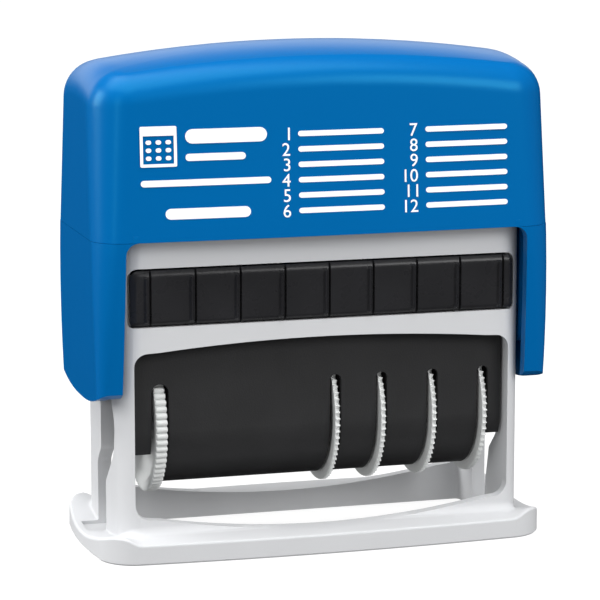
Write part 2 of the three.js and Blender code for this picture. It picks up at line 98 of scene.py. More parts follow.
WALL_HALF_LENGTH = 30.0
WALL_HALF_DEPTH = 11.6
WALL_CORNER = 3.2
END_WALL = 2.0
FACE_WALL = 1.6
BASE_CORNER = 5.6
BASE_BOW = 1.0
BASE_END_BOW = 0.65
BASE_EDGE = 3.0
BASE_EDGE_AT_CORNERS = 4.0
DISH_FLOOR = 2.0
DISH_HALF_DEPTH = 13.2
FLANGE_RISE_START = 27.8
FLANGE_RISE_RUN = 2.8
FLANGE_EDGE_ROUND = 0.4
FLANGE_SLOPE = 0.35
FRAME_STEPS = 60
FOOT_FILLET_AT_ENDS = 0.3
FOOT_FILLET_GAIN = 1.1
WALL_TOP_EDGE = 0.3
SLOT_FRONT, SLOT_REAR, SLOT_NARROW, SLOT_BOTTOM, SLOT_TOP = -1.5, 3.9, 1.5, 2.8, 30.3
GUIDE_GROOVE_DEPTH = 1.1
NOTCH_HALF_LENGTH, NOTCH_FLOOR, NOTCH_TOP = 32.6, 1.7, 4.6
CASSETTE_SLOT_CORNERS = 0.7, 1.4
DECK_LOW, DECK_HIGH = 42.3, 43.5
DECK_PEG_TOP = 44.3
LEDGE_X, LEDGE_HALF_WIDTH, LEDGE_THICKNESS = 27.7, 0.6, 0.9

SETS = ("word", "day_tens", "day_units", "month", "year")


# ------ outlines
def rounded(corners, steps=6):
    """Points of a polygon of (a, b, radius) corners, each rounded by an arc."""
    points = []
    for i, (a, b, radius) in enumerate(corners):
        corner = np.array((a, b), float)
        if radius == 0:
            points.append(corner)
            continue
        before = np.array(corners[i - 1][:2]) - corner
        after = np.array(corners[(i + 1) % len(corners)][:2]) - corner
        before /= np.linalg.norm(before)
        after /= np.linalg.norm(after)
        half = math.acos(np.clip(before @ after, -1, 1)) / 2
        middle = before + after
        centre = corner + middle / np.linalg.norm(middle) * radius / math.sin(half)
        start = corner + before * radius / math.tan(half) - centre
        end = corner + after * radius / math.tan(half) - centre
        first = math.atan2(start[1], start[0])
        sweep = math.atan2(end[1], end[0]) - first
        sweep = (sweep + math.pi) % (2 * math.pi) - math.pi
        for k in range(steps + 1):
            angle = first + sweep * k / steps
            points.append(centre + radius * np.array((math.cos(angle), math.sin(angle))))
    return np.array(points)


def box_outline(half_a, half_b, radius, steps=6):
    signs = ((1, 1), (-1, 1), (-1, -1), (1, -1))
    return rounded([(a * half_a, b * half_b, radius) for a, b in signs], steps)


def panel_outline(left, right, bottom, top, low_radius, high_radius, steps=6):
    """A rectangle whose lower and upper corners have radii of their own."""
    return rounded(
        [
            (right, bottom, low_radius),
            (right, top, high_radius),
            (left, top, high_radius),
            (left, bottom, low_radius),
        ],
        steps,
    )


def boat(
    half_length, half_depth, bow, radius, end_bow=0.0, long_steps=28, arc_steps=12, short_steps=10
):
    """Points and outward normals of a rounded rectangle whose sides bow out in the middle."""
    straight = half_length - end_bow - radius
    end_depth = half_depth - bow
    short = end_depth - radius
    points, normals = [], []

    def add(point, normal):
        points.append(point)
        normals.append(np.array(normal) / np.linalg.norm(normal))

    def long_side(sign):
        for k in range(long_steps):
            x = sign * straight * (1 - 2 * k / long_steps)
            add(
                (x, sign * (half_depth - bow * (x / straight) ** 2)),
                (2 * bow * x / straight**2, sign),
            )

    def corner(sign_x, sign_y, first):
        for k in range(arc_steps):
            angle = first + math.pi / 2 * k / arc_steps
            along, across = math.cos(angle), math.sin(angle)
            add(
                (sign_x * straight + radius * along, sign_y * short + radius * across),
                (along, across),
            )

    def short_side(sign):
        for k in range(short_steps):
            y = -sign * short * (1 - 2 * k / short_steps)
            add(
                (sign * (half_length - end_bow * (y / short) ** 2), y),
                (sign, 2 * end_bow * y / short**2),
            )

    long_side(1)
    corner(-1, 1, math.pi / 2)
    short_side(-1)
    corner(-1, -1, math.pi)
    long_side(-1)
    corner(1, -1, -math.pi / 2)
    short_side(1)
    corner(1, 1, 0)
    return np.array(points), np.array(normals)


# ------ solids, in millimetres
def solid(vertices, faces):
    """A Blender object with closed, outward faces."""
    mesh = bpy.data.meshes.new("solid")
    mesh.from_pydata([tuple(map(float, v)) for v in vertices], [], faces)
    work = bmesh.new()
    work.from_mesh(mesh)
    bmesh.ops.remove_doubles(work, verts=work.verts, dist=1e-5)
    bmesh.ops.recalc_face_normals(work, faces=work.faces)
    work.to_mesh(mesh)
    work.free()
    obj = bpy.data.objects.new("solid", mesh)
    bpy.context.scene.collection.objects.link(obj)
    return obj


def loft(rings, closed=False):
    """A skin over rings of equal count: closed into a torus, or with flat caps at its ends."""
    count = len(rings[0])
    vertices = np.concatenate(rings)
    faces = []
    pairs = len(rings) if closed else len(rings) - 1
    for r in range(pairs):
        a, b = r * count, ((r + 1) % len(rings)) * count
        for k in range(count):
            n = (k + 1) % count
            faces.append((a + k, a + n, b + n, b + k))
    if not closed:
        faces.append(tuple(range(count)))
        faces.append(tuple(range((len(rings) - 1) * count, len(rings) * count)))
    return solid(vertices, faces)


def placed(outline, plane, third):
    """An outline of (a, b) points set in its plane at a place on the third axis."""
    a, b = outline[:, 0], outline[:, 1]
    c = np.full(len(outline), float(third))
    columns = {"XY": (a, b, c), "XZ": (a, c, b), "YZ": (c, a, b)}[plane]
    return np.stack(columns, axis=1)


def prism(outline, plane, low, high):
    return loft([placed(outline, plane, low), placed(outline, plane, high)])


def block(x, y, z):
    outline = np.array([(x[1], y[1]), (x[0], y[1]), (x[0], y[0]), (x[1], y[0])], float)
    return prism(outline, "XY", *z)


def rod(radius, axis, centre, span, sides=48):
    """A round bar along X or Z: centre is its place on the two other axes."""
    turn = np.linspace(0, 2 * math.pi, sides, endpoint=False)
    circle = np.stack([np.cos(turn), np.sin(turn)], axis=1) * radius + np.array(centre)
    return prism(circle, "YZ" if axis == "X" else "XY", *span)


def settle(obj):
    """Turns what the modifiers make into the object's own mesh."""
    depsgraph = bpy.context.evaluated_depsgraph_get()
    mesh = bpy.data.meshes.new_from_object(obj.evaluated_get(depsgraph), depsgraph=depsgraph)
    obj.modifiers.clear()
    obj.data = mesh


def combine(base, operation, *others):
    for other in others:
        modifier = base.modifiers.new("boolean", "BOOLEAN")
        modifier.operation = operation
        modifier.solver = "EXACT"
        modifier.object = other
    settle(base)
    for other in others:
        bpy.data.objects.remove(other)
    return base


def cut(base, *others):
    return combine(base, "DIFFERENCE", *others)


def join(base, *others):
    return combine(base, "UNION", *others)


def tidy(obj, flat_angle=0.6):
    """Merges the slivers that cutting leaves and the faces that lie in one plane."""
    work = bmesh.new()
    work.from_mesh(obj.data)
    bmesh.ops.remove_doubles(work, verts=work.verts, dist=0.004)
    bmesh.ops.dissolve_limit(
        work, angle_limit=math.radians(flat_angle), verts=work.verts, edges=work.edges
    )
    work.to_mesh(obj.data)
    work.free()


def round_edges(obj, width, segments=2, angle=32):
    modifier = obj.modifiers.new("bevel", "BEVEL")
    modifier.width = width
    modifier.segments = segments
    modifier.limit_method = "ANGLE"
    modifier.angle_limit = math.radians(angle)
    modifier.miter_outer = "MITER_ARC"
    settle(obj)


def piece(obj, name, body, nodes, slot, smooth=34, material=None):
    """Finishes a solid: metres, shading, material, body and the frame nodes it stands for."""
    obj.data.transform(Matrix.Scale(MM, 4))
    obj.data.polygons.foreach_set("use_smooth", [True] * len(obj.data.polygons))
    obj.data.set_sharp_from_angle(angle=math.radians(smooth))
    normals = obj.modifiers.new("weighted_normal", "WEIGHTED_NORMAL")
    normals.keep_sharp = True
    obj.name = name
    obj.data.name = name
    obj.data.materials.clear()
    obj.data.materials.append(MATERIALS[material or slot])
    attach(obj, body)
    if nodes:
        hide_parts(*nodes)
    return obj


# ------ materials
def linear(red, green, blue):
    """A screen colour, 0 to 255, as linear light."""
    parts = [c / 255 for c in (red, green, blue)]
    return tuple(c / 12.92 if c < 0.04045 else ((c + 0.055) / 1.055) ** 2.4 for c in parts)


def surface(
    name,
    colour,
    roughness,
    grain=2600,
    bump=0.02,
    mottle=0.06,
    roughness_spread=0.02,
    metallic=0.0,
    specular=0.5,
    specular_tint=(1.0, 1.0, 1.0),
    cells=0,
    stretch=(1, 1, 1),
):
    """A procedural surface: base colour with a faint mottle, uneven roughness and a fine bump."""
    material = bpy.data.materials.new(name)
    material.use_nodes = True
    nodes, links = material.node_tree.nodes, material.node_tree.links
    shader = nodes["Principled BSDF"]
    shader.inputs["Metallic"].default_value = metallic
    shader.inputs["Specular IOR Level"].default_value = specular
    shader.inputs["Specular Tint"].default_value = (*specular_tint, 1.0)
    place = nodes.new("ShaderNodeTexCoord")
    mapping = nodes.new("ShaderNodeMapping")
    mapping.inputs["Scale"].default_value = stretch
    links.new(place.outputs["Object"], mapping.inputs["Vector"])

    def noise(scale, detail):
        texture = nodes.new("ShaderNodeTexNoise")
        texture.inputs["Scale"].default_value = scale
        texture.inputs["Detail"].default_value = detail
        links.new(mapping.outputs["Vector"], texture.inputs["Vector"])
        return texture.outputs["Fac"]

    def ramp(source, low, high):
        span = nodes.new("ShaderNodeMapRange")
        span.inputs["From Min"].default_value = 0.3
        span.inputs["From Max"].default_value = 0.7
        span.inputs["To Min"].default_value = low
        span.inputs["To Max"].default_value = high
        links.new(source, span.inputs["Value"])
        return span.outputs["Result"]

    cloud = noise(110, 4)
    mix = nodes.new("ShaderNodeMix")
    mix.data_type = "RGBA"
    colour_inputs = [s for s in mix.inputs if s.type == "RGBA"]
    colour_inputs[0].default_value = (*[c * (1 - mottle) for c in colour], 1)
    colour_inputs[1].default_value = (*[min(c * (1 + mottle), 1) for c in colour], 1)
    links.new(ramp(cloud, 0, 1), mix.inputs[0])
    links.new(next(s for s in mix.outputs if s.type == "RGBA"), shader.inputs["Base Color"])
    spread = ramp(noise(420, 3), roughness - roughness_spread, roughness + roughness_spread)
    links.new(spread, shader.inputs["Roughness"])
    height = noise(grain, 3)
    if cells:
        voronoi = nodes.new("ShaderNodeTexVoronoi")
        voronoi.inputs["Scale"].default_value = cells
        links.new(mapping.outputs["Vector"], voronoi.inputs["Vector"])
        height = voronoi.outputs["Distance"]
    relief = nodes.new("ShaderNodeBump")
    relief.inputs["Strength"].default_value = 1.0
    relief.inputs["Distance"].default_value = bump * MM
    links.new(height, relief.inputs["Height"])
    links.new(relief.outputs["Normal"], shader.inputs["Normal"])
    return material


FINISHES = {  # name: (screen colour, roughness, what differs from a plain surface)
    "blue_plastic": (
        (0, 92, 156),
        0.3,
        {
            "bump": 0.002,
            "mottle": 0.004,
            "roughness_spread": 0.002,
            "specular": 0.3,
            "specular_tint": (0.1, 0.8, 1.0),
        },
    ),
    "grey_plastic": ((198, 199, 201), 0.5, {"bump": 0.003, "mottle": 0.01, "specular": 0.12}),
    "black_plastic": (
        (38, 38, 40),
        0.28,
        {"grain": 2400, "bump": 0.006, "mottle": 0.12, "specular": 0.28},
    ),
    "matte_black_plastic": (
        (41, 41, 42),
        0.55,
        {"grain": 3800, "mottle": 0.1, "specular": 0.3},
    ),
    "white_plastic": ((208, 210, 209), 0.45, {"bump": 0.008, "mottle": 0.02}),
    "band_rubber": ((62, 54, 56), 0.72, {"grain": 5200, "bump": 0.03, "mottle": 0.2}),
    "ink_felt": (
        (22, 24, 34),
        0.93,
        {"grain": 3000, "bump": 0.12, "mottle": 0.3, "cells": 2400},
    ),
    "spring_steel": (
        (186, 190, 196),
        0.27,
        {"grain": 5200, "bump": 0.01, "metallic": 1.0, "stretch": (1, 1, 0.2)},
    ),
    "axle_steel": (
        (176, 180, 186),
        0.3,
        {"grain": 6000, "bump": 0.01, "metallic": 1.0, "stretch": (0.1, 1, 1)},
    ),
    "white_print": ((246, 248, 250), 0.5, {"grain": 5200, "bump": 0.004, "mottle": 0.02}),
}
MATERIALS = {
    name: surface(name, linear(*colour), roughness, **options)
    for name, (colour, roughness, options) in FINISHES.items()
}


# ------ hood
def crown(x, y):
    """Height of the hood's top over a point."""
    reach = HOOD_HIGH[0] - LENGTH_LOST_TO_DRAFT
    depth = HOOD_HIGH[1] - DEPTH_LOST_TO_DRAFT
    return HOOD_HIGH[2] - CROWN_ALONG * (x / reach) ** 2 - CROWN_ACROSS * (y / depth) ** 2


def draft_share(z):
    return np.clip((z - HOOD_LOW[2]) / (HOOD_HIGH[2] - HOOD_LOW[2]), 0, 1)


def hood_plan(z, inset=0.0):
    """The hood's outline at a height, moved inwards by inset."""
    share = draft_share(z)
    points, normals = boat(
        HOOD_HIGH[0] - LENGTH_LOST_TO_DRAFT * share,
        HOOD_HIGH[1] - DEPTH_LOST_TO_DRAFT * share,
        HOOD_BOW,
        HOOD_CORNER + (HOOD_CORNER_AT_TOP - HOOD_CORNER) * share,
    )
    return points - inset * normals, normals


def hood_front(x, z):
    """Where the hood's front lies, for the print on it."""
    straight = HOOD_HIGH[0] - LENGTH_LOST_TO_DRAFT * draft_share(z) - HOOD_CORNER
    depth = HOOD_HIGH[1] - DEPTH_LOST_TO_DRAFT * draft_share(z)
    return -(depth - HOOD_BOW * (x / straight) ** 2)


def hood_skin(inset, rim, top_drop):
    """Rings from the middle of the top, over the fillet and down to the rim."""
    shoulder_z = HOOD_HIGH[2] - HOOD_FILLET
    points, normals = hood_plan(shoulder_z)
    endwise = normals[:, 0] ** 4
    radius = HOOD_FILLET + (HOOD_FILLET_AT_ENDS - HOOD_FILLET) * endwise - inset
    near = points - normals * (inset + 0.8 * radius)[:, None]
    step = 0.1
    further = near + step * normals
    slope = (crown(near[:, 0], near[:, 1]) - crown(further[:, 0], further[:, 1])) / step
    last = np.radians(90 - CREASE_ANGLE * normals[:, 1] ** 4) - np.arctan(slope)
    first = math.radians(FILLET_END_ANGLE)
    inner = points - normals * (inset + radius - radius * np.cos(last))[:, None]
    centre_z = crown(inner[:, 0], inner[:, 1]) - top_drop - radius * np.sin(last)
    rings = []
    for share in (0.002, 0.15, 0.3, 0.45, 0.58, 0.7, 0.8, 0.88, 0.94, 0.975):
        flat = inner * share
        rings.append(np.column_stack([flat, crown(flat[:, 0], flat[:, 1]) - top_drop]))
    arc_steps, wall_steps = 10, 8
    for k in range(arc_steps + 1):
        angle = last + (first - last) * k / arc_steps
        flat = points - normals * (inset + radius - radius * np.cos(angle))[:, None]
        rings.append(np.column_stack([flat, centre_z + radius * np.sin(angle)]))
    start = rings[-1]
    low, _ = hood_plan(rim, inset)
    end = placed(low, "XY", rim)
    for k in range(1, wall_steps + 1):
        rings.append(start + (end - start) * k / wall_steps)
    return rings


def hood():
    """The blue cap: an outer and an inner skin, joined round the rim."""
    rim_z = HOOD_LOW[2] + HOOD_RIM_ROUND
    outer = hood_skin(0.0, rim_z, 0.0)
    inner = hood_skin(HOOD_WALL, rim_z, HOOD_WALL)
    rim = []
    rim_steps = 3
    for k in range(1, rim_steps + 1):
        angle = math.pi / 2 * k / rim_steps
        plan, _ = hood_plan(HOOD_LOW[2], HOOD_RIM_ROUND * (1 - math.cos(angle)))
        z = HOOD_LOW[2] + HOOD_RIM_ROUND * (1 - math.sin(angle))
        rim.append(placed(plan, "XY", z))
    plan, _ = hood_plan(HOOD_LOW[2], HOOD_WALL - HOOD_RIM_ROUND)
    rim.append(placed(plan, "XY", HOOD_LOW[2]))
    shell = loft(outer + rim + inner[::-1])
    piece(shell, "hood_shell", "cap", ["hood"], "blue_plastic", smooth=40)


# ------ stirrup
CHEEK_WALL = 1.7
CHEEK_TOP = HOOD_LOW[2] - 0.02
CHEEK_HALF_DEPTH_BOTTOM = 12.6
CHEEK_BOW = 1.95
CHEEK_DRAW_IN = 0.45
CHEEK_CORNER_LOW = 1.5
CHEEK_CORNER_GAIN = 2.9
CHEEK_CORNER_RISE = 3.4
LIP = 29.5
LIP_SLANT = 0.5
LIP_FILLET = 1.8


def cheek_section(z, inset):
    """The right cheek's plan at a height, moved inwards by inset, rounded on its outside."""
    share = (z - STIRRUP_LOW[2]) / (CHEEK_TOP - STIRRUP_LOW[2])
    outside = STIRRUP_HIGH[0] - CHEEK_DRAW_IN * (1 - share) ** 2 - inset
    depth_lost = (STIRRUP_HIGH[1] - CHEEK_HALF_DEPTH_BOTTOM) * (1 - share) ** 1.5
    depth = STIRRUP_HIGH[1] - depth_lost - inset
    radius = max(CHEEK_CORNER_LOW + CHEEK_CORNER_GAIN * share**1.3 - inset, 0.4)
    inside = LIP - LIP_FILLET - (2 if inset else 0)
    return rounded(
        [
            (outside, depth, radius),
            (inside, depth, 0),
            (inside, -depth, 0),
            (outside, -depth, radius),
        ],
        10,
    )


def mirrored(obj):
    """A copy on the other side of X = 0."""
    mesh = obj.data.copy()
    mesh.transform(Matrix.Scale(-1, 4, (1, 0, 0)))
    mesh.flip_normals()
    other = bpy.data.objects.new(obj.name, mesh)
    bpy.context.scene.collection.objects.link(other)
    return other


def cheek_block(heights, inset):
    """The cheek's plans at some heights as one solid, straight on past its bottom and top."""
    rings = []
    for z in heights:
        section = cheek_section(np.clip(z, STIRRUP_LOW[2], CHEEK_TOP), inset)
        rings.append(placed(section, "XY", z))
    return loft(rings)


def cheek():
    """The right cheek: a hollow shell with a bowed lower edge and a lip along each side."""
    heights = np.append(np.linspace(STIRRUP_LOW[2] - 1, CHEEK_TOP, 26), CHEEK_TOP + 1)
    outer = cheek_block(heights, 0)
    hollow = cheek_block(np.linspace(STIRRUP_LOW[2] - 3, CHEEK_TOP + 2, 20), CHEEK_WALL)
    side_z = STIRRUP_LOW[2] + CHEEK_BOW + CHEEK_CORNER_RISE
    low_arc = [
        (y, STIRRUP_LOW[2] + CHEEK_BOW * (abs(y) / CHEEK_HALF_DEPTH_BOTTOM) ** 2.6)
        for y in np.linspace(-CHEEK_HALF_DEPTH_BOTTOM, CHEEK_HALF_DEPTH_BOTTOM, 41)
    ]
    wide = STIRRUP_HIGH[1] + 3
    side_view = np.array(
        [(wide, CHEEK_TOP + 3), (-wide, CHEEK_TOP + 3), (-wide, side_z)]
        + low_arc[1:-1]
        + [(wide, side_z)]
    )
    lip = rounded(
        [
            (LIP + LIP_SLANT, STIRRUP_LOW[2] - 4, 0),
            (LIP, CHEEK_TOP, LIP_FILLET - 0.01),
            (LIP - 2 * LIP_FILLET, CHEEK_TOP, 0),
            (LIP - 2 * LIP_FILLET, STIRRUP_LOW[2] - 4, 0),
        ],
        10,
    )
    combine(outer, "INTERSECT", prism(side_view, "YZ", 0, STIRRUP_HIGH[0] + 2))
    cut(outer, hollow, prism(lip, "XZ", -wide, wide))
    return outer


def stirrup():
    right = cheek()
    tidy(right)
    round_edges(right, 0.2, 3)
    wide = STIRRUP_HIGH[1] + 2
    cut(right, block((LIP - 1, STIRRUP_HIGH[0] + 2), (-wide, wide), (CHEEK_TOP, CHEEK_TOP + 4)))
    left = mirrored(right)
    piece(right, "right_cheek", "cap", ["stirrup"], "blue_plastic", smooth=40)
    piece(left, "left_cheek", "cap", ["stirrup"], "blue_plastic", smooth=40)
    yoke()


ARM_INSIDE, ARM_OUTSIDE, ARM_HALF_DEPTH, ARM_BOTTOM = 30.35, 31.4, 9.0, 28.0
ARM_CORNER = 1.2
WEB_OUTSIDE = 32.3
HUB_RADIUS = 3.2
HUB_HOLE_END = 31.9
BRIDGE_THICKNESS = 1.8
BRIDGE_HALF_DEPTH = 7.5
BRIDGE_OPENING_X = 17
PEG_RADIUS = 3.1
PEG_LENGTH = 4
TRUNNION_RADIUS = 1.2


def yoke():
    """The arms that rise from the cheeks and the bridge over the spring."""
    top = STIRRUP_HIGH[2]
    bridge = prism(
        box_outline(ARM_OUTSIDE, BRIDGE_HALF_DEPTH, 1.0), "XY", top - BRIDGE_THICKNESS, top
    )

    def upright(top_z, inside, outside):
        outline = box_outline(ARM_HALF_DEPTH, (top_z - ARM_BOTTOM) / 2, ARM_CORNER)
        outline[:, 1] += (top_z + ARM_BOTTOM) / 2
        return prism(outline, "YZ", inside, outside)

    parts = []
    for side in (-1, 1):
        inside, outside, web = (side * v for v in (ARM_INSIDE, ARM_OUTSIDE, WEB_OUTSIDE))
        parts.append(upright(top, inside, outside))
        parts.append(upright(CHEEK_TOP - GAP, inside, web))
        parts.append(rod(HUB_RADIUS, "X", (0, PIVOT_Z), (inside, web)))
    parts.append(rod(PEG_RADIUS, "Z", (0, 0), (top - PEG_LENGTH, top)))
    join(bridge, *parts)
    holes = []
    for x in (-BRIDGE_OPENING_X, BRIDGE_OPENING_X):
        opening = box_outline(8, 4.5, 1.5)
        opening[:, 0] += x
        holes.append(prism(opening, "XY", top - PEG_LENGTH, top + 2))
    for side in (-1, 1):
        span = (side * (ARM_INSIDE - 1), side * HUB_HOLE_END)
        holes.append(rod(TRUNNION_RADIUS + GAP, "X", (0, PIVOT_Z), span))
    cut(bridge, *holes)
    tidy(bridge)
    round_edges(bridge, 0.2, 2)
    piece(bridge, "stirrup_yoke", "cap", ["stirrup"], "blue_plastic")


# ------ frame
def window_outline():
    """The front and rear window as (x, z), with its bowed top and bottom edges."""
    half, top, top_bow, bottom, bottom_bow, radius = 27.9, 30.9, 1.3, 5.8, 2.6, 1.9
    shoulder = top - top_bow
    straight = half - radius

    def bow(sign, level, sag):
        return [
            (sign * x, level + sag * (1 - (x / straight) ** 2), 0)
            for x in np.linspace(-straight, straight, 33)[1:-1]
        ]

    return rounded(
        [
            (half, shoulder, radius),
            *bow(-1, shoulder, top_bow),
            (-half, shoulder, radius),
            (-half, bottom, radius + 0.3),
            *bow(1, bottom, -bottom_bow),
            (half, bottom, radius + 0.3),
        ],
        8,
    )


def slot_outline():
    """The curved slot of each end wall as (y, z)."""
    return rounded(
        [
            (SLOT_REAR, SLOT_BOTTOM, 0.4),
            (SLOT_REAR, 11.4, 1.5),
            (SLOT_NARROW, 13.6, 1.5),
            (SLOT_NARROW, 20.4, 1.5),
            (SLOT_REAR, 22.8, 1.5),
            (SLOT_REAR, SLOT_TOP, 1),
            (-1.8, SLOT_TOP, 1),
            (-1.8, 28.4, 1),
            (-7.8, 18.8, 4),
            (-6.9, 14.4, 6),
            (SLOT_FRONT, 9.4, 0.8),
            (SLOT_FRONT, SLOT_BOTTOM, 0.4),
        ],
        8,
    )


def groove_outline():
    """The guide pin's groove inside each end wall as (y, z)."""
    return rounded(
        [
            (-1, SLOT_BOTTOM, 0.4),
            (-1, 20, 0),
            (-4.1, 18.5, 1.5),
            (-4.1, 14, 2),
            (-2.15, 6.2, 1.5),
            (-1.6, SLOT_BOTTOM, 0),
        ],
        4,
    )


def flange_top(plan, level):
    """Height of the flange over points: raised at its corners, dished along each end."""
    rise = np.clip((np.abs(plan[:, 0]) - FLANGE_RISE_START) / FLANGE_RISE_RUN, 0, 1)
    rise = rise**2 * (3 - 2 * rise)
    along = level + (BASE_EDGE_AT_CORNERS - level) * rise
    depth = BASE_EDGE_AT_CORNERS - DISH_FLOOR
    return np.minimum(along, DISH_FLOOR + depth * (plan[:, 1] / DISH_HALF_DEPTH) ** 2)


def frame_rings():
    """The outer skin: base edge, sloping top of the base, fillet, walls."""
    base, out = boat(
        FRAME_HIGH[0], FRAME_HIGH[1], BASE_BOW, BASE_CORNER, BASE_END_BOW, long_steps=FRAME_STEPS
    )
    wall, wall_out = boat(
        WALL_HALF_LENGTH, WALL_HALF_DEPTH, 0.0, WALL_CORNER, long_steps=FRAME_STEPS
    )
    lengthwise = out[:, 1] ** 2
    edge_z = flange_top(base, BASE_EDGE)
    fillet = FOOT_FILLET_AT_ENDS + FOOT_FILLET_GAIN * lengthwise
    foot_z = flange_top(wall, BASE_EDGE + FLANGE_SLOPE)

    def ring(plan, z):
        return np.column_stack([plan, np.broadcast_to(z, len(plan))])

    rings = [ring(base - 0.25 * out, 0.0), ring(base, 0.25), ring(base, 0.9)]
    for k in range(6):
        angle = math.pi / 2 * k / 5
        inset = FLANGE_EDGE_ROUND * (1 - math.cos(angle))
        drop = FLANGE_EDGE_ROUND * (1 - math.sin(angle))
        rings.append(ring(base - out * inset, edge_z - drop))
    start = rings[-1]
    foot = ring(wall + wall_out * fillet[:, None], foot_z)
    for k in range(1, 7):
        rings.append(start + (foot - start) * k / 6)
    for k in range(1, 7):
        angle = math.pi / 2 * k / 6
        plan = wall + wall_out * (fillet * (1 - math.sin(angle)))[:, None]
        rings.append(ring(plan, foot_z + fillet * (1 - math.cos(angle))))
    rings.append(ring(wall, FRAME_HIGH[2] - WALL_TOP_EDGE))
    rings.append(ring(wall - WALL_TOP_EDGE * wall_out, FRAME_HIGH[2]))
    return rings


def stamp_frame():
    """The frame's skin with its inside, windows, slots and grooves cut out."""
    inner_x = WALL_HALF_LENGTH - END_WALL
    inner_y = WALL_HALF_DEPTH - FACE_WALL
    body = loft(frame_rings())
    slot_low, slot_high = CASSETTE_LOW - GAP, CASSETTE_HIGH + GAP
    cassette_slot = panel_outline(
        slot_low[0], slot_high[0], slot_low[2], slot_high[2], *CASSETTE_SLOT_CORNERS
    )
    notch_x = (-NOTCH_HALF_LENGTH, NOTCH_HALF_LENGTH)
    reach = FRAME_HIGH[1] + 4
    cut(body, prism(box_outline(inner_x, inner_y, 0.8), "XY", -2, FRAME_HIGH[2] + 2))
    cut(body, prism(window_outline(), "XZ", -reach, reach))
    cut(body, prism(slot_outline(), "YZ", -WALL_HALF_LENGTH - 1, WALL_HALF_LENGTH + 1))
    groove_end = inner_x + GUIDE_GROOVE_DEPTH
    cut(
        body,
        prism(groove_outline(), "YZ", -groove_end, groove_end),
        prism(cassette_slot, "XZ", -reach, 0.4 - inner_y),
        block(notch_x, (SLOT_FRONT, SLOT_REAR), (NOTCH_FLOOR, NOTCH_TOP)),
    )
    tidy(body, 0.3)
    round_edges(body, 0.22, 2, 38)
    piece(body, "stamp_frame", "frame", ["frame"], "grey_plastic", smooth=40)
    deck_and_ledges(inner_x, inner_y)


def deck_and_ledges(inner_x, inner_y):
    """The deck under the spring and the ledges under the pad cassette."""
    deck = prism(box_outline(inner_x + 1, inner_y + 0.8, 1.2), "XY", DECK_LOW, DECK_HIGH)
    join(deck, rod(PEG_RADIUS, "Z", (0, 0), (DECK_LOW + 0.1, DECK_PEG_TOP)))
    tidy(deck)
    round_edges(deck, 0.25, 2)
    piece(deck, "frame_deck", "frame", ["frame"], "grey_plastic")
    ledge_top = CASSETTE_LOW[2] - GAP
    for side, x in (("left", -LEDGE_X), ("right", LEDGE_X)):
        ledge = block(
            (x - LEDGE_HALF_WIDTH, x + LEDGE_HALF_WIDTH),
            (-inner_y - 0.8, inner_y + 0.8),
            (ledge_top - LEDGE_THICKNESS, ledge_top),
        )
        round_edges(ledge, 0.15, 2)
        piece(ledge, side + "_pad_ledge", "frame", ["frame"], "grey_plastic")


# ------ ink pad and its cassette
RIB_PITCH = 6.55
RIB_COUNT = 9
RIB_WIDTH = 0.8
GROOVE_WIDTH = 0.45
PANEL_DEPTH = 0.42
GROOVE_DEPTH = 1.0
FACE_THICKNESS = 1.3
FACE_EDGE = 0.75
FACE_END_RUN = 1.0
FACE_CORNERS = 0.5, 1.2
TRAY_HALF_LENGTH = 27.2
POCKET_HALF_LENGTH = 26.7
POCKET_HALF_DEPTH = 8.5


def grip_relief(x):
    """Depth of the ribbed front behind its crest at a place along it."""
    first = -RIB_PITCH * (RIB_COUNT - 1) / 2
    nearest = first + RIB_PITCH * np.clip(np.round((x - first) / RIB_PITCH), 0, RIB_COUNT - 1)
    offset = x - nearest
    flank = np.clip(np.abs(offset) / (RIB_WIDTH / 2), 0, 1)
    rib = PANEL_DEPTH * (1 - np.cos(math.pi * flank)) / 2
    groove_centre = RIB_WIDTH / 2 + GROOVE_WIDTH / 2
    depth = np.where(np.abs(offset) <= RIB_WIDTH / 2, rib, PANEL_DEPTH)
    trough = GROOVE_DEPTH - 2.5 * (np.abs(offset - groove_centre) / (GROOVE_WIDTH / 2)) ** 4
    in_groove = np.abs(offset - groove_centre) <= GROOVE_WIDTH / 2
    return np.where(in_groove, np.maximum(trough, PANEL_DEPTH), depth)


